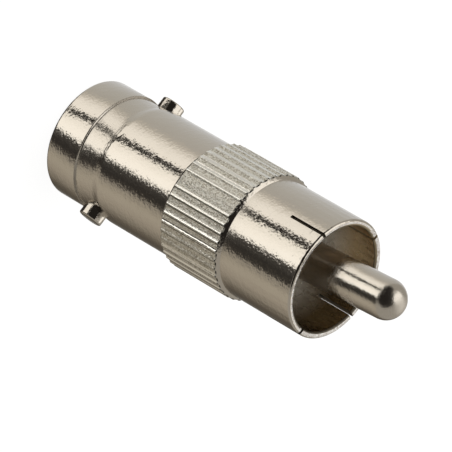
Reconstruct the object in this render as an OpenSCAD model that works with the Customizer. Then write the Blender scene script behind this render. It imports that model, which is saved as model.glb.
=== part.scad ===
// Coaxial adapter: bayonet jack on one end, phono plug on the other.
// It stands on the jack's mouth. The origin is the middle of that mouth, +Z runs to the pin's tip,
// and the two bayonet lugs point along +X and -X.

/* [Jack barrel] */
// Outside diameter of the barrel
barrel_d = 9.65; // [9.4:0.05:9.9]
// Length of the barrel from the mouth to the collar
barrel_len = 12.95; // [12:0.05:16]
// Diameter of the mouth's bore
mouth_bore_d = 8.1; // [7.9:0.05:8.3]
// Depth of the mouth's bore, from the mouth to the web
mouth_bore_depth = 8.4; // [7.6:0.1:9.2]
// Rounding of the mouth's outer edge
mouth_round = 0.3; // [0.1:0.05:0.4]
// Chamfer of the mouth's inner edge
mouth_chamfer = 0.15; // [0.05:0.05:0.25]

/* [Relief groove] */
// Length of the front band before the groove
band_len = 3.15; // [2.6:0.05:3.4]
// Length of the groove
groove_len = 2.6; // [2.4:0.05:3.2]
// Depth of the groove
groove_depth = 0.16; // [0.05:0.01:0.25]
// Length of the groove's steep front wall
groove_front_len = 0.05; // [0.02:0.01:0.4]
// Length of the groove's gentle rear ramp
groove_ramp_len = 0.8; // [0.2:0.05:1.2]

/* [Bayonet lugs] */
// Diameter of a lug
lug_d = 1.95; // [1.8:0.01:2.1]
// Distance over both lugs
lugs_over = 11.04; // [10.8:0.01:11.2]
// Height of the lugs' axis above the mouth
lug_z = 4.5; // [4.3:0.05:4.7]
// Edge rounding of a lug's outer end
lug_round = 0.15; // [0.05:0.05:0.3]
// How far a lug's inner end stays back from the bore
lug_set_back = 0.08; // [0.02:0.01:0.2]

/* [Knurled collar] */
// Diameter over the ridges
knurl_d = 10.36; // [10.2:0.02:10.8]
// Length of the collar with its end cone
collar_len = 6.05; // [5.2:0.05:8]
// Number of ridges
ridge_count = 44; // [36:1:52]
// Height of a ridge
ridge_h = 0.07; // [0.05:0.01:0.15]
// Width of a ridge at its foot
ridge_foot_w = 0.34; // [0.24:0.01:0.45]
// Width of a ridge's flat crest
ridge_crest_w = 0.08; // [0.04:0.01:0.16]
// Turn of the knurl about the axis
knurl_turn = 1; // [-4:0.5:4]
// Slope of the cone at the collar's end, from a flat end face
end_slope = 40; // [20:5:60]

/* [Phono sleeve] */
// Outside diameter of the sleeve
sleeve_d = 9.68; // [9.5:0.02:9.8]
// Bore of the sleeve
sleeve_bore_d = 8.6; // [8.3:0.05:8.9]
// Length of the sleeve beyond the collar
sleeve_len = 7.2; // [6:0.1:9]
// Rounding of the rim's two edges
rim_round = 0.2; // [0.05:0.01:0.24]
// Width of a slot
slot_w = 0.27; // [0.15:0.01:0.6]
// Length of a slot from the rim
slot_len = 3.35; // [2:0.05:5]
// Turn of the two saw passes about the axis, each of which cuts two slots
saw_turns = [74, -4]; // [-180:0.5:180]
// How far each saw pass runs beside the axis, uneven as they were sawn
saw_offsets = [0.3, 0.68]; // [-1:0.02:1]

/* [Inside of the shells] */
// Height of the inner step between the sleeve's bore and the wider bore for the barrel's spigot
step_h = 0.15; // [0.1:0.05:0.3]
// Length of the spigot
spigot_len = 3.5; // [2.5:0.1:3.8]
// Thickness of the web behind the mouth's bore, which holds the insulator back
web_t = 1.5; // [1:0.1:2.5]
// Diameter of the bore behind the web, for the insulator's body
body_bore_d = 7.6; // [7:0.1:7.9]

/* [Insulators] */
// Diameter of the nose in the mouth
nose_d = 4.72; // [4.4:0.02:4.8]
// How far the nose stays back from the mouth
nose_set_back = 3.15; // [2.9:0.05:3.4]
// Thickness of the bush's flange, trapped between the spigot and the shell's inner step
flange_t = 1.1; // [0.8:0.1:1.6]
// Thickness of the bush's disc in the bottom of the cup
disc_t = 1.4; // [1.2:0.1:2.4]

/* [Centre contacts] */
// Diameter of the socket contact
socket_d = 2.1; // [1.9:0.05:2.3]
// Bore of the socket contact
socket_bore_d = 1.36; // [1.3:0.01:1.4]
// Depth of the socket's bore
socket_bore_depth = 5.4; // [4.8:0.1:6]
// How far the socket's mouth stays back from the nose
socket_set_back = 0.2; // [0.1:0.05:0.5]
// Width of the cuts between the socket's tines
tine_cut_w = 0.2; // [0.1:0.02:0.26]
// Length of the cuts between the tines
tine_cut_len = 3.6; // [2:0.1:4]
// Free space round the tines, as long as their cuts
tine_room = 0.2; // [0.1:0.05:0.4]
// Diameter of the socket's shoulder
shoulder_d = 3.4; // [2.8:0.1:4]
// Length of the socket's shoulder
shoulder_len = 3.45; // [2.5:0.05:4]
// Diameter of the phono pin
pin_d = 3.175; // [3:0.025:3.4]
// How far the pin stands out beyond the sleeve's rim
pin_reach = 6.3; // [4:0.05:9]
// Diameter of the pin's thin stem
stem_d = 1.8; // [1.2:0.05:1.9]
// Length of the stem in the socket
stem_len = 3.3; // [1.5:0.1:3.4]
// Lean of the pin from the axis
pin_lean = 2.6; // [0:0.1:3]
// Direction in which the pin leans
pin_lean_turn = -170; // [-180:5:180]

/* [Fits] */
// Gap all round between pieces that are pressed together
press_gap = 0.02; // [0.01:0.005:0.04]

/* [Hidden] */
$fn = 96;
nickel = "#b9b4aa";
brass = "#c9a24a";
dielectric = "#efeee8";
// Overlap of a cut with free space
cut = 1;
// Steps in a rounded edge
round_steps = 6;

groove_end = band_len + groove_len;
spigot_d = sleeve_bore_d + 2 * step_h;
collar_end = barrel_len + collar_len;
rim_z = collar_end + sleeve_len;
bush_z = barrel_len + spigot_len;
step_z = bush_z + flange_t;
disc_z = step_z + disc_t;
body_z = mouth_bore_depth + web_t;
shoulder_z = bush_z - shoulder_len;
socket_z = nose_set_back + socket_set_back;
tine_room_end = socket_z + tine_cut_len;
pin_tip_z = rim_z + pin_reach;
valley_r = knurl_d / 2 - ridge_h;
// Along the leaning pin, from the bush's front face: the shoulder that rests on the disc, and the tip's centre.
pin_seat_h = (disc_z - bush_z + pin_d / 2 * sin(pin_lean)) / cos(pin_lean);
pin_ball_h = (pin_tip_z - bush_z - pin_d / 2) / cos(pin_lean);

// Points of a quarter round with its centre at c, from angle a to angle b.
function arc(c, r, a, b) = [for (i = [0:round_steps]) let (t = a + (b - a) * i / round_steps)
    c + r * [cos(t), sin(t)]];

// Turned barrel: mouth, front band, relief groove, plain barrel and rear spigot, bored from both ends up to a web.
module bnc_shell() color(nickel) difference() {
    rotate_extrude() polygon(concat(
        [[nose_d / 2 + press_gap, mouth_bore_depth], [mouth_bore_d / 2, mouth_bore_depth],
         [mouth_bore_d / 2, mouth_chamfer], [mouth_bore_d / 2 + mouth_chamfer, 0]],
        arc([barrel_d / 2 - mouth_round, mouth_round], mouth_round, -90, 0),
        [[barrel_d / 2, band_len],
         [barrel_d / 2 - groove_depth, band_len + groove_front_len],
         [barrel_d / 2 - groove_depth, groove_end - groove_ramp_len],
         [barrel_d / 2, groove_end],
         [barrel_d / 2, barrel_len],
         [spigot_d / 2 - press_gap, barrel_len],
         [spigot_d / 2 - press_gap, bush_z],
         [body_bore_d / 2, bush_z],
         [body_bore_d / 2, body_z],
         [nose_d / 2 + press_gap, body_z]]));
    for (side = [0, 180])
        rotate([0, 90, side])
            translate([-lug_z, 0, 0])
                cylinder(d = lug_d + 2 * press_gap, h = lugs_over / 2 + cut);
}

// One bayonet stud along +X: a plain cylinder in the wall with a rounded outer end.
module bayonet_lug() {
    inner = mouth_bore_d / 2 + lug_set_back;
    outer = lugs_over / 2;
    color(nickel) translate([0, 0, lug_z]) rotate([0, 90, 0]) rotate_extrude() polygon(concat(
        [[0, inner], [lug_d / 2, inner]],
        arc([lug_d / 2 - lug_round, outer - lug_round], lug_round, 0, 90),
        [[0, outer]]));
}

module bayonet_lug_a() bayonet_lug();

module bayonet_lug_b() rotate(180) bayonet_lug();

// Outline of the knurl: flat valleys and narrow raised ridges.
module knurl_outline() {
    foot = asin(ridge_foot_w / 2 / valley_r);
    crest = asin(ridge_crest_w / knurl_d);
    polygon([for (i = [0:ridge_count - 1]) let (a = knurl_turn + i * 360 / ridge_count)
        for (p = [[valley_r, -foot], [knurl_d / 2, -crest], [knurl_d / 2, crest], [valley_r, foot]])
            p[0] * [cos(a + p[1]), sin(a + p[1])]]);
}

// Knurled collar with a coned end, and slotted sleeve, turned in one piece and bored through with one inner step.
module rca_shell() color(nickel) difference() {
    union() {
        // The cone runs on into the sleeve, so that the two cross cleanly.
        intersection() {
            translate([0, 0, barrel_len]) linear_extrude(collar_len + cut) knurl_outline();
            translate([0, 0, barrel_len])
                cylinder(r1 = sleeve_d / 2 + collar_len / tan(end_slope), r2 = sleeve_d / 2 - cut,
                         h = collar_len + cut * tan(end_slope));
        }
        rotate_extrude() polygon(concat(
            [[sleeve_bore_d / 2, step_z], [sleeve_d / 2, step_z]],
            arc([sleeve_d / 2 - rim_round, rim_z - rim_round], rim_round, 0, 90),
            arc([sleeve_bore_d / 2 + rim_round, rim_z - rim_round], rim_round, 90, 180)));
    }
    translate([0, 0, barrel_len - cut]) cylinder(d = spigot_d, h = step_z - barrel_len + cut);
    translate([0, 0, barrel_len - cut]) cylinder(d = sleeve_bore_d, h = pin_tip_z);
    for (i = [0, 1])
        rotate(saw_turns[i])
            translate([-knurl_d, saw_offsets[i] - slot_w / 2, rim_z - slot_len])
                cube([2 * knurl_d, slot_w, slot_len + cut]);
}

// Moulded dielectric of the jack: nose through the web, and body trapped between the web and the bush.
module bnc_insulator() color(dielectric) rotate_extrude() polygon([
    [socket_d / 2 + tine_room, nose_set_back],
    [nose_d / 2, nose_set_back],
    [nose_d / 2, body_z],
    [body_bore_d / 2 - press_gap, body_z],
    [body_bore_d / 2 - press_gap, bush_z],
    [shoulder_d / 2 + press_gap, bush_z],
    [shoulder_d / 2 + press_gap, shoulder_z],
    [socket_d / 2 + press_gap, shoulder_z],
    [socket_d / 2 + press_gap, tine_room_end],
    [socket_d / 2 + tine_room, tine_room_end]]);

// Centre contact of the jack: bored tube cut into four tines, with a shoulder bored for the pin's stem.
module bnc_socket() color(brass) difference() {
    union() {
        translate([0, 0, socket_z]) cylinder(d = socket_d, h = bush_z - socket_z);
        translate([0, 0, shoulder_z]) cylinder(d = shoulder_d, h = shoulder_len);
    }
    translate([0, 0, socket_z - cut]) cylinder(d = socket_bore_d, h = socket_bore_depth + cut);
    translate([0, 0, bush_z - stem_len]) cylinder(d = stem_d + 2 * press_gap, h = stem_len + cut);
    for (turn = [45, 135])
        rotate(turn)
            translate([-socket_d, -tine_cut_w / 2, socket_z - cut])
                cube([2 * socket_d, tine_cut_w, tine_cut_len + cut]);
}

// Turns its children with the pin's lean about the bend in its stem, on the bush's front face.
module leaning() translate([0, 0, bush_z]) rotate(pin_lean_turn) rotate([0, pin_lean, 0]) children();

// Bush in the bottom of the cup: flange behind the shell's step, disc, and the stem's leaning hole.
module rca_insulator() color(dielectric) difference() {
    rotate_extrude() polygon([
        [0, bush_z],
        [spigot_d / 2 - press_gap, bush_z],
        [spigot_d / 2 - press_gap, step_z],
        [sleeve_bore_d / 2 - press_gap, step_z],
        [sleeve_bore_d / 2 - press_gap, disc_z],
        [0, disc_z]]);
    leaning() translate([0, 0, -cut]) cylinder(d = stem_d + 2 * press_gap, h = pin_seat_h + 2 * cut);
}

// Phono pin: thin stem that is straight in the socket and bent at the bush, pin and full round tip.
module rca_pin() color(nickel) {
    translate([0, 0, bush_z - stem_len]) cylinder(d = stem_d, h = stem_len);
    translate([0, 0, bush_z]) sphere(d = stem_d);
    leaning() {
        cylinder(d = stem_d, h = pin_seat_h);
        translate([0, 0, pin_seat_h]) cylinder(d = pin_d, h = pin_ball_h - pin_seat_h);
        translate([0, 0, pin_ball_h]) sphere(d = pin_d);
    }
}

bnc_shell();
bayonet_lug_a();
bayonet_lug_b();
rca_shell();
bnc_insulator();
bnc_socket();
rca_insulator();
rca_pin();
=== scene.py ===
from math import atan2, cos, hypot, pi, radians, sin, tan

import bmesh
import bpy
from mathutils import Matrix, Vector


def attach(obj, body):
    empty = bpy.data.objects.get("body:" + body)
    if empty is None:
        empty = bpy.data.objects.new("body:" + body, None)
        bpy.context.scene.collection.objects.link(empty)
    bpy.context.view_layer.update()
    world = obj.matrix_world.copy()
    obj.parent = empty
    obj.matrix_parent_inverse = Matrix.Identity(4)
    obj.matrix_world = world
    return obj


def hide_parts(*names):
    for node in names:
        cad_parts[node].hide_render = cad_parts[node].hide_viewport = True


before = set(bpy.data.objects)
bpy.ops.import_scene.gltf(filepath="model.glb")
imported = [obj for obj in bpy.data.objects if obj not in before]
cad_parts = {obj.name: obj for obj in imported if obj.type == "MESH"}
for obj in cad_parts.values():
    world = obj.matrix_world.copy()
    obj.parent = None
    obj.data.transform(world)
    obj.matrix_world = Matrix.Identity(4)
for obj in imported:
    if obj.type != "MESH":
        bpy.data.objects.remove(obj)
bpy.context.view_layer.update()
bpy.context.scene.view_settings.view_transform = "Standard"

# The camera stands 0.35 m away behind a long lens and looks down past the phono pin. It is rolled, so that
# the standing adapter lies across the picture from the jack's mouth, upper left, to the pin's tip.
mm = 0.001
camera_aim = Vector((0.642, 0.113, 15.183)) * mm
camera_distance = 352.53 * mm
camera_azimuth, camera_elevation, camera_roll = radians(10), radians(35.806), radians(120.28)
camera_turn = (Matrix.Rotation(camera_azimuth, 4, "Z") @ Matrix.Rotation(pi / 2 - camera_elevation, 4, "X")
               @ Matrix.Rotation(camera_roll, 4, "Z"))
camera_data = bpy.data.cameras.new("camera")
camera_data.lens = 375.25
camera_data.sensor_width = 36
camera_data.clip_start = 0.01
camera = bpy.data.objects.new("camera", camera_data)
camera.matrix_world = (Matrix.Translation(camera_aim) @ camera_turn
                       @ Matrix.Translation((0, 0, camera_distance)))
bpy.context.collection.objects.link(camera)
bpy.context.scene.camera = camera


# Barrel of the bayonet jack. A brass bar is turned, bored from both ends up to a thin web and nickel plated.
# Its rear spigot is pressed into the collar, and cross holes in the shallow groove take the two studs.
barrel_r = 4.825
barrel_end = 12.95
mouth_bore_r = 4.05
mouth_chamfer = 0.15
mouth_round = 0.3
groove_r = barrel_r - 0.16
groove_start = 3.15
groove_wall = 0.07
groove_end = 5.1
ramp_end = 5.75
seam_len = 0.26
seam_depth = 0.15
web_front = 8.4
web_back = 9.9
web_hole_r = 2.38
rear_bore_r = 3.8
spigot_r = 4.43
spigot_end = 16.45
press_gap = 0.02
stud_r = 0.975
stud_z = 4.5
drill_from = 3
drill_to = 7


def turned(outline, steps=256):
    """Spins an outline about the axis. Its points are radius, height and edge rounding, in mm."""
    bm = bmesh.new()
    corners = [bm.verts.new((r * mm, 0, z * mm)) for r, z, *_ in outline]
    bm.faces.new(corners)
    for corner, (_, _, *rounding) in zip(corners, outline):
        if rounding:
            bmesh.ops.bevel(bm, geom=[corner], offset=rounding[0] * mm, offset_type="ABSOLUTE",
                            affect="VERTICES", segments=max(4, round(16 * rounding[0])), profile=0.5,
                            material=-1)
    bmesh.ops.delete(bm, geom=bm.faces[:], context="FACES_ONLY")
    on_axis = [e for e in bm.edges if max(v.co.x for v in e.verts) < 1e-7]
    bmesh.ops.delete(bm, geom=on_axis, context="EDGES")
    bmesh.ops.spin(bm, geom=bm.verts[:] + bm.edges[:], cent=(0, 0, 0), axis=(0, 0, 1), angle=2 * pi,
                   steps=steps, use_merge=True)
    bmesh.ops.remove_doubles(bm, verts=bm.verts[:], dist=1e-7)
    bmesh.ops.recalc_face_normals(bm, faces=bm.faces[:])
    return bm


def cut_away(bm, tool):
    """Cuts the tool's shape out of the piece, as a drill or a saw does."""
    shapes = []
    for shape in (bm, tool):
        mesh = bpy.data.meshes.new("cut")
        shape.to_mesh(mesh)
        shape.free()
        shapes.append(bpy.data.objects.new("cut", mesh))
        bpy.context.collection.objects.link(shapes[-1])
    cut = shapes[0].modifiers.new("cut", "BOOLEAN")
    cut.operation = "DIFFERENCE"
    cut.solver = "EXACT"
    cut.object = shapes[1]
    result = bmesh.new()
    result.from_object(shapes[0], bpy.context.evaluated_depsgraph_get())
    for shape in shapes:
        bpy.data.meshes.remove(shape.data)
    bmesh.ops.remove_doubles(result, verts=result.verts[:], dist=1e-7)
    bmesh.ops.recalc_face_normals(result, faces=result.faces[:])
    return result


def share(value, none, full):
    """How far a value has come from one limit to the other, from 0 to 1."""
    return min(1, max(0, (value - none) / (full - none)))


def finished(name, bm, cad_node, slot, *materials):
    """Makes the mesh an object that stands for its CAD solid."""
    mesh = bpy.data.meshes.new(name)
    bm.to_mesh(mesh)
    bm.free()
    mesh.shade_smooth()
    mesh.set_sharp_from_angle(angle=radians(35))
    for material in materials:
        mesh.materials.append(material)
    piece = bpy.data.objects.new(name, mesh)
    bpy.context.collection.objects.link(piece)
    piece.modifiers.new("normals follow large faces", "WEIGHTED_NORMAL").keep_sharp = True
    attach(piece, "root")
    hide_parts(cad_node)


def linear(code):
    """Linear RGBA of an sRGB hex colour."""
    parts = [int(code[i:i + 2], 16) / 255 for i in (0, 2, 4)]
    return [c / 12.92 if c <= 0.04045 else ((c + 0.055) / 1.055) ** 2.4 for c in parts] + [1.0]


def add(tree, kind, sockets=None, **settings):
    """Adds a node with its settings. Each socket gets a value, or a link from another node's output."""
    node = tree.nodes.new(kind)
    for name, value in settings.items():
        setattr(node, name, value)
    for name, value in (sockets or {}).items():
        if isinstance(value, bpy.types.NodeSocket):
            tree.links.new(value, node.inputs[name])
        else:
            node.inputs[name].default_value = value
    return node


def new_material(name, metallic):
    """Starts a material. Gives it with its nodes, its shader and the place on the object."""
    material = bpy.data.materials.new(name)
    material.use_nodes = True
    tree = material.node_tree
    shader = tree.nodes["Principled BSDF"]
    shader.inputs["Metallic"].default_value = metallic
    return material, tree, shader, add(tree, "ShaderNodeTexCoord").outputs["Object"]


# Bright nickel over turned brass: a warm mirror. The lathe's marks run round it as fine rings, so the edges
# of reflected bands look feathered. Real marks and grain are about 0.05 mm, too fine to show, so the rings
# are drawn 0.3 mm apart and the grain 0.18 mm wide.
ring_spacing = 0.3
ring_patch = 0.7
nickel, tree, shader, place = new_material("nickel_plate_turned", metallic=1.0)
rings_place = add(tree, "ShaderNodeMapping", {
    "Vector": place, "Scale": [1 / (size * mm) for size in (ring_patch, ring_patch, ring_spacing)]})
rings = add(tree, "ShaderNodeTexNoise", {"Vector": rings_place.outputs[0], "Scale": 1.0, "Detail": 2.0,
                                         "Distortion": 0.6})
grain = add(tree, "ShaderNodeTexNoise", {"Vector": place, "Scale": 1 / (0.18 * mm), "Detail": 2.0})
stain = add(tree, "ShaderNodeTexNoise", {"Vector": place, "Scale": 1 / (3.0 * mm), "Detail": 3.0})
tint = add(tree, "ShaderNodeMix", {"Factor": stain.outputs["Fac"], "A": linear("d8d1c7"),
                                   "B": linear("d0c9be")}, data_type="RGBA")
gloss = add(tree, "ShaderNodeMapRange", {"Value": grain.outputs["Fac"], "To Min": 0.03, "To Max": 0.11})
ring_bump = add(tree, "ShaderNodeBump", {"Height": rings.outputs["Fac"], "Strength": 1.0,
                                         "Distance": 0.024 * mm})
ring_bump.name = "lathe rings"
grain_bump = add(tree, "ShaderNodeBump", {"Height": grain.outputs["Fac"], "Strength": 1.0,
                                          "Distance": 0.012 * mm, "Normal": ring_bump.outputs[0]})
tree.links.new(tint.outputs["Result"], shader.inputs["Base Color"])
tree.links.new(gloss.outputs[0], shader.inputs["Roughness"])
tree.links.new(grain_bump.outputs[0], shader.inputs["Normal"])


def duller(name, *spans):
    """Copies the nickel plate. A span adds haze to its roughness: all of it as far as one height in mm, and
    none past the other."""
    plate = nickel.copy()
    plate.name = name
    tree = plate.node_tree
    gloss = tree.nodes["Principled BSDF"].inputs["Roughness"]
    place = add(tree, "ShaderNodeTexCoord").outputs["Object"]
    above_mouth = add(tree, "ShaderNodeSeparateXYZ", {"Vector": place}).outputs["Z"]
    for full, none, haze in spans:
        fade = add(tree, "ShaderNodeMapRange", {"Value": above_mouth, "From Min": full * mm,
                                                "From Max": none * mm, "To Min": haze, "To Max": 0.0})
        total = add(tree, "ShaderNodeMath", {0: gloss.links[0].from_socket, 1: fade.outputs[0]})
        tree.links.new(total.outputs[0], gloss)
    return plate


# Burnishing doesn't reach into the groove, so its plating is duller than on the front band and the barrel.
# Its steep front wall is bright midway between the studs and hazy towards them.
up_to_ramp = (groove_end, groove_end + 0.5, 0.1)
up_to_wall = (groove_start + 0.2, groove_start + 0.35, 0.05)
front_band = (groove_start - 0.15, groove_start, -0.15)
barrel_plate = duller("nickel_plate_barrel", up_to_ramp, up_to_wall, front_band)
tree = barrel_plate.node_tree
gloss = tree.nodes["Principled BSDF"].inputs["Roughness"]
haze = add(tree, "ShaderNodeAttribute", attribute_name="hazy_wall").outputs["Fac"]
total = add(tree, "ShaderNodeMath", {0: haze, 1: 0.5, 2: gloss.links[0].from_socket},
            operation="MULTIPLY_ADD")
tree.links.new(total.outputs[0], gloss)

barrel = turned([(web_hole_r, web_front), (mouth_bore_r, web_front), (mouth_bore_r, mouth_chamfer),
                 (mouth_bore_r + mouth_chamfer, 0), (barrel_r, 0, mouth_round),
                 (barrel_r, groove_start, 0.04), (groove_r, groove_start + groove_wall, 0.06),
                 (groove_r, groove_end, 0.2), (barrel_r, ramp_end, 0.15),
                 (barrel_r, barrel_end - seam_len, 0.05), (barrel_r - seam_depth, barrel_end),
                 (spigot_r, barrel_end), (spigot_r, spigot_end), (rear_bore_r, spigot_end),
                 (rear_bore_r, web_back), (web_hole_r, web_back)])
bright_middle, bright_half, all_hazy = 0.8, 1.8, 3.2
hazy_wall = barrel.verts.layers.float.new("hazy_wall")
for v in barrel.verts:
    if groove_start - 0.03 < v.co.z / mm < groove_start + 0.12:
        v[hazy_wall] = share(abs(v.co.x / mm - bright_middle), bright_half, all_hazy)
for side in (1, -1):
    drill = bmesh.new()
    bmesh.ops.create_cone(drill, cap_ends=True, segments=64, radius1=(stud_r + press_gap) * mm,
                          radius2=(stud_r + press_gap) * mm, depth=(drill_to - drill_from) * mm)
    bmesh.ops.rotate(drill, verts=drill.verts[:], matrix=Matrix.Rotation(pi / 2, 3, "Y"))
    bmesh.ops.translate(drill, verts=drill.verts[:],
                        vec=(side * (drill_from + drill_to) / 2 * mm, 0, stud_z * mm))
    barrel = cut_away(barrel, drill)
finished("jack_barrel", barrel, "bnc_shell", "nickel_plate", barrel_plate)


# The two bayonet studs: short brass pins with a slightly rounded end, nickel plated. They are pressed into
# the barrel's cross holes, and a plug's nut hooks behind them.
stud_foot = 4.13
stud_end = 5.52
for name, cad_node, turn in (("bayonet_stud_a", "bayonet_lug_a", pi / 2),
                             ("bayonet_stud_b", "bayonet_lug_b", -pi / 2)):
    stud = turned([(0, stud_foot), (stud_r, stud_foot), (stud_r, stud_end, 0.15), (0, stud_end)], steps=64)
    bmesh.ops.rotate(stud, verts=stud.verts[:], matrix=Matrix.Rotation(turn, 3, "Y"))
    bmesh.ops.translate(stud, verts=stud.verts[:], vec=(0, 0, stud_z * mm))
    finished(name, stud, cad_node, "nickel_plate", nickel)


# Insulator of the jack, moulded in white acetal. Its nose passes the barrel's web and carries the contact.
# Its body is trapped between the web and the bush.
nose_front = 3.15
nose_r = web_hole_r - press_gap
body_r = rear_bore_r - press_gap
contact_r = 1.05
tine_room_r = 1.25
tine_end = 6.95
shoulder_r = 1.7
shoulder_z = 13.0

# Moulded acetal: a white, faintly clouded plastic with a soft shine.
acetal, tree, shader, place = new_material("acetal_moulded_white", metallic=0.0)
shader.inputs["IOR"].default_value = 1.48
cloud = add(tree, "ShaderNodeTexNoise", {"Vector": place, "Scale": 1 / (1.5 * mm), "Detail": 3.0})
shade = add(tree, "ShaderNodeMix", {"Factor": cloud.outputs["Fac"], "A": linear("f1f0ea"),
                                    "B": linear("e6e3da")}, data_type="RGBA")
gloss = add(tree, "ShaderNodeMapRange", {"Value": cloud.outputs["Fac"], "To Min": 0.32, "To Max": 0.48})
tree.links.new(shade.outputs["Result"], shader.inputs["Base Color"])
tree.links.new(gloss.outputs[0], shader.inputs["Roughness"])

insulator = turned([(tine_room_r, nose_front), (nose_r, nose_front, 0.1), (nose_r, web_back),
                    (body_r, web_back, 0.1), (body_r, spigot_end, 0.1), (shoulder_r + press_gap, spigot_end),
                    (shoulder_r + press_gap, shoulder_z), (contact_r + press_gap, shoulder_z),
                    (contact_r + press_gap, tine_end), (tine_room_r, tine_end)], steps=128)
finished("jack_insulator", insulator, "bnc_insulator", "white_dielectric", acetal)


# Centre contact of the jack: a turned and gold-flashed brass tube, sawn crosswise into four tines that grip
# a plug's pin. Its shoulder sits in the insulator.
contact_front = 3.35
contact_hole_r = 0.68
contact_hole_end = 8.75
tine_slot_w = 0.2
stem_r = 0.9
stem_seat = 13.15


def slotted(bm, turn, off_axis, width, start, end, reach):
    """Saws a slot right across the piece, from one height to another, in mm. Its turn is in degrees."""
    saw = bmesh.new()
    bmesh.ops.create_cube(saw, size=1)
    bmesh.ops.scale(saw, verts=saw.verts[:], vec=Vector((reach, width, end - start)) * mm)
    bmesh.ops.translate(saw, verts=saw.verts[:], vec=Vector((0, off_axis, (start + end) / 2)) * mm)
    bmesh.ops.rotate(saw, verts=saw.verts[:], matrix=Matrix.Rotation(radians(turn), 3, "Z"))
    return cut_away(bm, saw)


# Gold-flashed brass: a warm yellow metal with fine turning marks. They are drawn 0.1 mm apart, twice as
# coarse as real ones, so that they show.
brass, tree, shader, place = new_material("brass_gold_flashed", metallic=1.0)
rings_place = add(tree, "ShaderNodeMapping", {"Vector": place,
                                              "Scale": [1 / (size * mm) for size in (0.6, 0.6, 0.1)]})
rings = add(tree, "ShaderNodeTexNoise", {"Vector": rings_place.outputs[0], "Scale": 1.0, "Detail": 1.0})
tint = add(tree, "ShaderNodeMix", {"Factor": rings.outputs["Fac"], "A": linear("e3c272"),
                                   "B": linear("d2ac58")}, data_type="RGBA")
gloss = add(tree, "ShaderNodeMapRange", {"Value": rings.outputs["Fac"], "To Min": 0.18, "To Max": 0.3})
bump = add(tree, "ShaderNodeBump", {"Height": rings.outputs["Fac"], "Strength": 1.0, "Distance": 0.005 * mm})
tree.links.new(tint.outputs["Result"], shader.inputs["Base Color"])
tree.links.new(gloss.outputs[0], shader.inputs["Roughness"])
tree.links.new(bump.outputs[0], shader.inputs["Normal"])

contact = turned([(0, contact_hole_end), (contact_hole_r, contact_hole_end),
                  (contact_hole_r, contact_front, 0.1), (contact_r, contact_front, 0.1),
                  (contact_r, shoulder_z), (shoulder_r, shoulder_z, 0.08), (shoulder_r, spigot_end),
                  (stem_r + press_gap, spigot_end), (stem_r + press_gap, stem_seat), (0, stem_seat)],
                 steps=96)
for turn in (45, 135):
    contact = slotted(contact, turn, off_axis=0, width=tine_slot_w, start=contact_front - 1, end=tine_end,
                      reach=4 * contact_r)
finished("jack_contact", contact, "bnc_socket", "contact_brass", brass)


# Bush in the bottom of the phono cup, moulded in white acetal. Its flange is trapped behind the shell's
# inner step, and the pin's thin stem leans in its hole.
step_z = 17.55
bush_top = 18.95
sleeve_bore_r = 4.3
pin_lean = radians(2.6)
lean_side = radians(-170)
lean_slope = Vector((cos(lean_side), sin(lean_side))) * tan(pin_lean)
bush = turned([(stem_r + press_gap, spigot_end), (spigot_r, spigot_end), (spigot_r, step_z),
               (sleeve_bore_r - press_gap, step_z), (sleeve_bore_r - press_gap, bush_top, 0.1),
               (stem_r + press_gap, bush_top)], steps=128)
for v in bush.verts:
    if hypot(v.co.x, v.co.y) < (stem_r + 0.1) * mm:
        v.co.xy += lean_slope * (v.co.z - spigot_end * mm)
finished("phono_bush", bush, "rca_insulator", "white_dielectric", acetal)


# Phono pin: turned brass with a full round tip, nickel plated. Its stem is pressed into the jack's contact,
# and the pin leans 2.6 degrees, bent at the bush.
pin_r = 1.5875
seat = spigot_end + 2.5747
tip = spigot_end + 14.4774 + pin_r

# The pin's plating has weaker marks of the lathe and is hazier, most of all at its root and at the very end
# of its tip. A bump bends the reflections near the root as a flare would. The pin itself stays straight.
all_over = (tip, tip + 1, 0.07)
round_tip = (31.2, 30.6, 0.08)
tip_end = (32.45, 32.2, 0.32)
root = (25.6, 27.4, 0.3)
flare_start, flare_end, flare_h = 28.8, 23.8, 0.6
pin_plate = duller("nickel_plate_pin", all_over, round_tip, tip_end, root)
tree = pin_plate.node_tree
tree.nodes["lathe rings"].inputs["Distance"].default_value = 0.008 * mm
shader = tree.nodes["Principled BSDF"]
place = add(tree, "ShaderNodeTexCoord").outputs["Object"]
above_mouth = add(tree, "ShaderNodeSeparateXYZ", {"Vector": place}).outputs["Z"]
flare = add(tree, "ShaderNodeMapRange", {"Value": above_mouth, "From Min": flare_start * mm,
                                         "From Max": flare_end * mm, "To Min": 0.0, "To Max": flare_h * mm},
            interpolation_type="SMOOTHSTEP")
flare_bump = add(tree, "ShaderNodeBump", {"Height": flare.outputs[0], "Strength": 1.0, "Distance": 1.0,
                                          "Normal": shader.inputs["Normal"].links[0].from_socket})
tree.links.new(flare_bump.outputs[0], shader.inputs["Normal"])

pin = turned([(0, stem_seat), (stem_r, stem_seat), (stem_r, spigot_end), (stem_r, seat), (pin_r, seat),
              (pin_r, tip, pin_r), (0, tip)], steps=192)
bend = Vector((0, 0, spigot_end * mm))
lean_turn = Matrix.Rotation(lean_side, 3, "Z")
bmesh.ops.rotate(pin, verts=[v for v in pin.verts if v.co.z > bend.z + 1e-6], cent=bend,
                 matrix=lean_turn @ Matrix.Rotation(pin_lean, 3, "Y") @ lean_turn.inverted())
finished("phono_pin", pin, "rca_pin", "nickel_plate", pin_plate)


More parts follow.
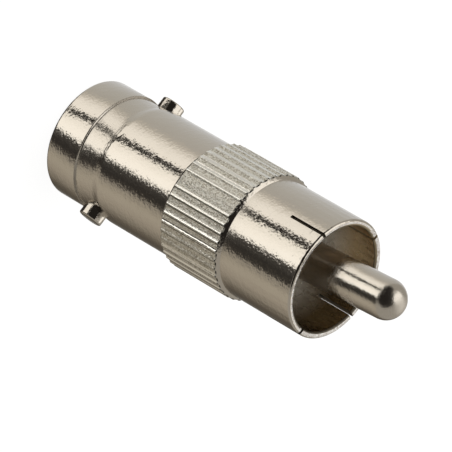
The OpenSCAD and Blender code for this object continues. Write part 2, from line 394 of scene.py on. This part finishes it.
# Shell of the phono plug: collar and sleeve turned from one brass bar, bored through and nickel plated. The
# collar is knurled with straight ridges, and four slots are sawn into the sleeve, unevenly, so that it grips.
collar_end = 19.0
collar_edge = 0.07
end_cone = 0.84
valley_r = 5.11
ridge_count = 44
ridge_h = 0.07
ridge_w = 0.34
crest_w = 0.08
knurl_turn = radians(1)
steps_per_ridge = 12
steps_on_ridge = 8
sleeve_r = 4.84
rim = 26.2
rim_round = 0.2
slot_w = 0.27
slot_end = 22.85
saw_cuts = ((74, 0.3), (-4, 0.68))
saw_above, saw_reach = 5, 12

# Knurled plating: matt, gritty valleys with bright lines where hands have rubbed the ridges' flanks, and
# near-black lines of painted shade in their corners. Real grit is about 0.05 mm, and 0.13 mm is what still
# shows.
knurled, tree, shader, place = new_material("nickel_plate_knurled", metallic=1.0)
rubbed = add(tree, "ShaderNodeAttribute", attribute_name="rubbed_flank").outputs["Fac"]
corner_shade = add(tree, "ShaderNodeAttribute", attribute_name="painted_corner_shade").outputs["Fac"]
# Painted light: on one side of the collar the specks in the valleys are paler.
paler = add(tree, "ShaderNodeAttribute", attribute_name="valley_painted_light").outputs["Fac"]
grit = add(tree, "ShaderNodeTexNoise", {"Vector": place, "Scale": 1 / (0.13 * mm), "Detail": 2.0})
valley_gloss = add(tree, "ShaderNodeMapRange", {"Value": grit.outputs["Fac"], "To Min": 0.33, "To Max": 0.5})
gloss = add(tree, "ShaderNodeMix", {"Factor": rubbed, "A": valley_gloss.outputs[0], "B": 0.08})
specks = add(tree, "ShaderNodeMapRange", {"Value": grit.outputs["Fac"], "From Min": 0.45, "From Max": 0.62})
speck_tint = add(tree, "ShaderNodeMix", {"Factor": paler, "A": linear("c6bfaf"),
                                         "B": linear("d8d1c2")}, data_type="RGBA")
valley_tint = add(tree, "ShaderNodeMix", {"Factor": specks.outputs[0], "A": linear("fffcf2"),
                                          "B": speck_tint.outputs["Result"]}, data_type="RGBA")
rubbed_tint = add(tree, "ShaderNodeMix", {"Factor": rubbed, "A": valley_tint.outputs["Result"],
                                          "B": linear("faf8f2")}, data_type="RGBA")
# Painted shade: the ridges' corners go near-black.
tint = add(tree, "ShaderNodeMix", {"Factor": corner_shade, "A": rubbed_tint.outputs["Result"],
                                   "B": linear("1c1a18")}, data_type="RGBA")
relief = add(tree, "ShaderNodeMapRange", {"Value": rubbed, "To Min": 1.0, "To Max": 0.12})
bump = add(tree, "ShaderNodeBump", {"Height": grit.outputs["Fac"], "Strength": relief.outputs[0],
                                    "Distance": 0.1 * mm})
tree.links.new(tint.outputs["Result"], shader.inputs["Base Color"])
tree.links.new(gloss.outputs[0], shader.inputs["Roughness"])
tree.links.new(bump.outputs[0], shader.inputs["Normal"])

# Polishing doesn't reach the corner under the collar, so the sleeve's plating is duller near its root.
dull = duller("nickel_plate_dull_root", (collar_end, collar_end + 1.6, 0.14))

# The bore is plated but not burnished: a duller wall in which reflections go soft. It is paler at the bottom
# of the cup and browner towards the rim, and there one side is darker: painted shade.
pale_below, brown_above = 21, 24
light_side, shaded_side = -3, 1.5
bored, tree, shader, place = new_material("nickel_plate_bored", metallic=1.0)
film = add(tree, "ShaderNodeTexNoise", {"Vector": place, "Scale": 1 / (0.8 * mm), "Detail": 3.0})
at = add(tree, "ShaderNodeSeparateXYZ", {"Vector": place})
towards_rim = add(tree, "ShaderNodeMapRange", {"Value": at.outputs["Z"], "From Min": pale_below * mm,
                                               "From Max": brown_above * mm})
# Painted shade: towards the rim the bore is darker on one side.
side_shade = add(tree, "ShaderNodeMapRange", {"Value": at.outputs["X"], "From Min": light_side * mm,
                                        "From Max": shaded_side * mm})
brown = add(tree, "ShaderNodeMix", {"Factor": side_shade.outputs[0], "A": linear("ecd3ac"),
                                    "B": linear("93805f")}, data_type="RGBA")
paler = add(tree, "ShaderNodeMix", {"Factor": film.outputs["Fac"], "A": linear("fcfaf8"),
                                    "B": linear("efece8")}, data_type="RGBA")
tint = add(tree, "ShaderNodeMix", {"Factor": towards_rim.outputs[0], "A": paler.outputs["Result"],
                                   "B": brown.outputs["Result"]}, data_type="RGBA")
gloss = add(tree, "ShaderNodeMapRange", {"Value": film.outputs["Fac"], "To Min": 0.22, "To Max": 0.32})
tree.links.new(tint.outputs["Result"], shader.inputs["Base Color"])
tree.links.new(gloss.outputs[0], shader.inputs["Roughness"])

# The slot faces are left rough by the saw and painted dark: painted shade, which the rim's inner edge shares.
# On the light side of the bore they are a lighter brown: painted light. The saw's marks are drawn 0.15 mm
# wide, coarser than real ones, so that they show.
shaded_faces, tree, shader, place = new_material("nickel_plate_shaded_faces", metallic=1.0)
marks = add(tree, "ShaderNodeTexNoise", {"Vector": place, "Scale": 1 / (0.15 * mm), "Detail": 2.0})
dark = add(tree, "ShaderNodeMix", {"Factor": marks.outputs["Fac"], "A": linear("8a8272"),
                                   "B": linear("57514a")}, data_type="RGBA")
across = add(tree, "ShaderNodeSeparateXYZ", {"Vector": place}).outputs["X"]
# Painted light: a lighter brown on the light side of the bore.
lit_brown = add(tree, "ShaderNodeMapRange", {"Value": across, "From Min": (light_side + 0.5) * mm,
                                           "From Max": (light_side - 0.5) * mm})
tint = add(tree, "ShaderNodeMix", {"Factor": lit_brown.outputs[0], "A": dark.outputs["Result"],
                                   "B": linear("b4a68c")}, data_type="RGBA")
gloss = add(tree, "ShaderNodeMapRange", {"Value": marks.outputs["Fac"], "To Min": 0.4, "To Max": 0.6})
tree.links.new(tint.outputs["Result"], shader.inputs["Base Color"])
tree.links.new(gloss.outputs[0], shader.inputs["Roughness"])

# Plugging in and out has worn the rim: a bright, pitted edge that glitters and mirrors nothing clearly. The
# pits are drawn 0.14 mm wide, coarser than real ones, so that they show.
worn, tree, shader, place = new_material("nickel_plate_worn_rim", metallic=1.0)
pits = add(tree, "ShaderNodeTexNoise", {"Vector": place, "Scale": 1 / (0.14 * mm), "Detail": 2.0})
bare = add(tree, "ShaderNodeMapRange", {"Value": pits.outputs["Fac"], "From Min": 0.45, "From Max": 0.65})
tint = add(tree, "ShaderNodeMix", {"Factor": bare.outputs[0], "A": linear("fffefc"),
                                   "B": linear("d8cec6")}, data_type="RGBA")
gloss = add(tree, "ShaderNodeMapRange", {"Value": pits.outputs["Fac"], "To Min": 0.3, "To Max": 0.5})
bump = add(tree, "ShaderNodeBump", {"Height": pits.outputs["Fac"], "Strength": 1.0, "Distance": 0.12 * mm})
tree.links.new(tint.outputs["Result"], shader.inputs["Base Color"])
tree.links.new(gloss.outputs[0], shader.inputs["Roughness"])
tree.links.new(bump.outputs[0], shader.inputs["Normal"])

cone_start = collar_end - end_cone * (valley_r - sleeve_r)
shell = turned([(spigot_r + press_gap, barrel_end), (valley_r, barrel_end, collar_edge),
                (valley_r, cone_start - 0.2), (valley_r, cone_start, collar_edge), (sleeve_r, collar_end),
                (sleeve_r, rim, rim_round), (sleeve_bore_r, rim, rim_round), (sleeve_bore_r, step_z),
                (spigot_r + press_gap, step_z)], steps=ridge_count * steps_per_ridge)

# The collar is drawn out to ridges, and wear and painted shade are laid on them. One ridge is nearly worn
# away. The first flank of each is rubbed bright, less so on the dull side, and not at its foot on the narrow
# side. Painted shade darkens the second flank's corner, most of all on one side, and lies unevenly along the
# knurl's end. Limits are cosines of the angle to a side.
worn_ridge, worn_h, worn_marks = -11, 0.15, 0.1
corner_shade_side, valley_light_side = radians(-55), radians(-83)
dull_side, dull_limits, dulled = radians(-37), (0.972, 0.997), 0.85
narrow_side, narrow_limits = radians(-82), (0.97, 0.87)
painted_corner_shade = shell.verts.layers.float.new("painted_corner_shade")
rubbed_flank = shell.verts.layers.float.new("rubbed_flank")
valley_painted_light = shell.verts.layers.float.new("valley_painted_light")
step = 2 * pi / (ridge_count * steps_per_ridge)
ridge_angle = ridge_w / valley_r
gap_angle = 2 * pi / ridge_count - ridge_angle
crest_step = steps_on_ridge // 2
for v in shell.verts:
    count = round(atan2(v.co.y, v.co.x) / step)
    ridge, k = divmod(count + crest_step, steps_per_ridge)
    across = 2 * k / steps_on_ridge - 1
    height = ridge_h * min(1, max(0, 1 - abs(across)) * ridge_w / (ridge_w - crest_w))
    angle = (ridge * 2 * pi / ridge_count + ridge_angle / 2 * min(across, 1)
             + gap_angle * max(0, k - steps_on_ridge) / (steps_per_ridge - steps_on_ridge) + knurl_turn)
    before_ridge = k == steps_per_ridge - 1
    if k <= crest_step or before_ridge:
        v[rubbed_flank] = 1 - dulled * share(cos(angle - dull_side), *dull_limits)
    if k < 2 or before_ridge:
        v[rubbed_flank] *= share(cos(angle - narrow_side), *narrow_limits)
    # Painted shade in the corner of each ridge's second flank, strongest on one side of the collar.
    if k in (steps_on_ridge - 2, steps_on_ridge - 1):
        v[painted_corner_shade] = max(0.4, cos(angle - corner_shade_side)) ** 4
    if ridge == worn_ridge:
        height *= worn_h
        v[painted_corner_shade] = v[rubbed_flank] = worn_marks
    # Painted shade along the knurl's end, uneven from ridge to ridge.
    if v.co.z > (cone_start - 0.05) * mm:
        v[painted_corner_shade] = 0.6 + 0.4 * sin(count)
    # Painted light: paler valley specks, most of all on one side of the collar.
    v[valley_painted_light] = max(0, cos(angle - valley_light_side)) ** 6
    r = hypot(v.co.x, v.co.y)
    if r > (valley_r - collar_edge - 1e-3) * mm:
        r += height * mm
        if v.co.z > spigot_end * mm:
            v.co.z -= end_cone * height * mm
    v.co.xy = r * cos(angle), r * sin(angle)
for turn, off_axis in saw_cuts:
    shell = slotted(shell, turn, off_axis, slot_w, start=slot_end, end=slot_end + saw_above, reach=saw_reach)

coats = [dull, knurled, bored, nickel, shaded_faces, worn]
for face in shell.faces:
    middle = face.calc_center_median()
    outwards = face.normal.xy.dot(middle.xy) / middle.xy.length
    on_collar = barrel_end * mm < middle.z < collar_end * mm - 1e-6
    in_slot = slot_end * mm - 1e-6 < middle.z < (rim - rim_round) * mm and abs(outwards) < 0.3
    coat = dull
    if on_collar and outwards > 0.7:
        coat = knurled
    elif middle.z > (rim - rim_round) * mm and abs(face.normal.z) > 1e-3:
        # Painted shade: the rim's inner edge takes the dark coat, over more of the rim on one side.
        bare_from, bare_to = (-0.45, 0.3) if middle.y > 0 else (-0.15, 0.1)
        coat = shaded_faces if outwards < bare_from else worn if outwards < bare_to else dull
    elif outwards < -0.9:
        coat = bored
    # The slot faces take the painted shade.
    elif in_slot:
        coat = shaded_faces
    elif on_collar:
        coat = nickel
    face.material_index = coats.index(coat)
finished("phono_shell", shell, "rca_shell", "nickel_plate", *coats)


# The floor: a plain white studio table, a disc of 1.5 m radius. It glows enough to show white, and keeps a
# faint shadow of the adapter. The plating mirrors the studio of the next section instead of the table.
table = bpy.data.materials.new("white_studio_table")
table.use_nodes = True
tree = table.node_tree
tree.nodes.remove(tree.nodes["Principled BSDF"])
glow = add(tree, "ShaderNodeEmission", {"Color": linear("ffffff"), "Strength": 0.93})
matt = add(tree, "ShaderNodeBsdfDiffuse", {"Color": linear("888888")})
both = add(tree, "ShaderNodeAddShader", {0: glow.outputs[0], 1: matt.outputs[0]})
tree.links.new(both.outputs[0], tree.nodes["Material Output"].inputs["Surface"])
bm = bmesh.new()
bmesh.ops.create_circle(bm, cap_ends=True, segments=128, radius=1.5)
mesh = bpy.data.meshes.new("floor")
bm.to_mesh(mesh)
bm.free()
mesh.materials.append(table)
floor = bpy.data.objects.new("floor", mesh)
bpy.context.collection.objects.link(floor)
floor.visible_glossy = False


# The studio round the adapter, drawn by direction, so that a plated wall mirrors it as straight bands along
# its length: below, two tall soft lamps with dark gaps beside them and grey walls; above, the dark side where
# the camera stands, grey walls and two soft lamps. Angles are azimuth from +X, height and size, in degrees.
bands_below = ((-180, "a9a8a4"), (-160, "a6a49f"), (-150, "b2aea6"), (-142, "d4d0c9"), (-130, "e8e5df"),
               (-113, "efece6"), (-110, "2c2a27"), (-102, "282624"), (-97, "e9e6df"), (-80, "faf7f1"),
               (-65, "fdfbf6"), (-60, "454340"), (-42, "2c2a28"), (-31, "3d3a36"), (-25, "837e76"),
               (-14, "989286"), (-4, "9e988c"), (16, "928b80"), (32, "7d776d"), (48, "5c564d"),
               (64, "4a453e"), (85, "5a564f"), (100, "bcbcbc"), (112, "cacaca"), (122, "babbbc"),
               (132, "b3b4b5"), (160, "acacaa"), (180, "a9a8a4"))
bands_end, walls_start = -14, -6
camera_side = (-78, 34, 47, "201e1c")
dark_corner = (-128, 9, 25, "201e1c")
top_lamp = (175, 60, 29, "f4f2ee")
rim_lamp = (100, 38, 16, "f8f6f2")
table_shade = (0, -90, 28, "2c2926")
soft_edge = 4
world = bpy.data.worlds.new("studio")
world.use_nodes = True
bpy.context.scene.world = world
tree = world.node_tree
direction = add(tree, "ShaderNodeTexCoord").outputs["Generated"]
round_about = add(tree, "ShaderNodeTexGradient", {"Vector": direction}, gradient_type="RADIAL")
bands = add(tree, "ShaderNodeValToRGB", {"Fac": round_about.outputs["Fac"]})
for azimuth, _ in bands_below[1:-1]:
    bands.color_ramp.elements.new((azimuth + 180) / 360)
for stop, (_, code) in zip(bands.color_ramp.elements, bands_below):
    stop.color = linear(code)
height = add(tree, "ShaderNodeSeparateXYZ", {"Vector": direction}).outputs["Z"]
above = add(tree, "ShaderNodeMapRange", {"Value": height, "From Min": sin(radians(bands_end)),
                                         "From Max": sin(radians(walls_start))})
studio = add(tree, "ShaderNodeMix", {"Factor": above.outputs[0], "A": bands.outputs["Color"],
                                     "B": linear("8f8c86")}, data_type="RGBA").outputs["Result"]
for azimuth, up, size, code in (camera_side, dark_corner, top_lamp, rim_lamp, table_shade):
    level = cos(radians(up))
    middle = (level * cos(radians(azimuth)), level * sin(radians(azimuth)), sin(radians(up)))
    towards = add(tree, "ShaderNodeVectorMath", {0: direction, 1: middle}, operation="DOT_PRODUCT")
    inside = add(tree, "ShaderNodeMapRange", {"Value": towards.outputs["Value"],
                                              "From Min": cos(radians(size + soft_edge)),
                                              "From Max": cos(radians(size - soft_edge))})
    studio = add(tree, "ShaderNodeMix", {"Factor": inside.outputs[0], "A": studio, "B": linear(code)},
                 data_type="RGBA").outputs["Result"]

# The camera sees plain white in place of the studio. The plating doesn't: a white room would leave none of
# its bands.
room = add(tree, "ShaderNodeBackground", {"Color": studio, "Strength": 1.45})
white = add(tree, "ShaderNodeBackground", {"Color": linear("ffffff"), "Strength": 1.0})
camera_ray = add(tree, "ShaderNodeLightPath").outputs["Is Camera Ray"]
both = add(tree, "ShaderNodeMixShader", {0: camera_ray, 1: room.outputs[0], 2: white.outputs[0]})
tree.links.new(both.outputs[0], tree.nodes["World Output"].inputs["Surface"])
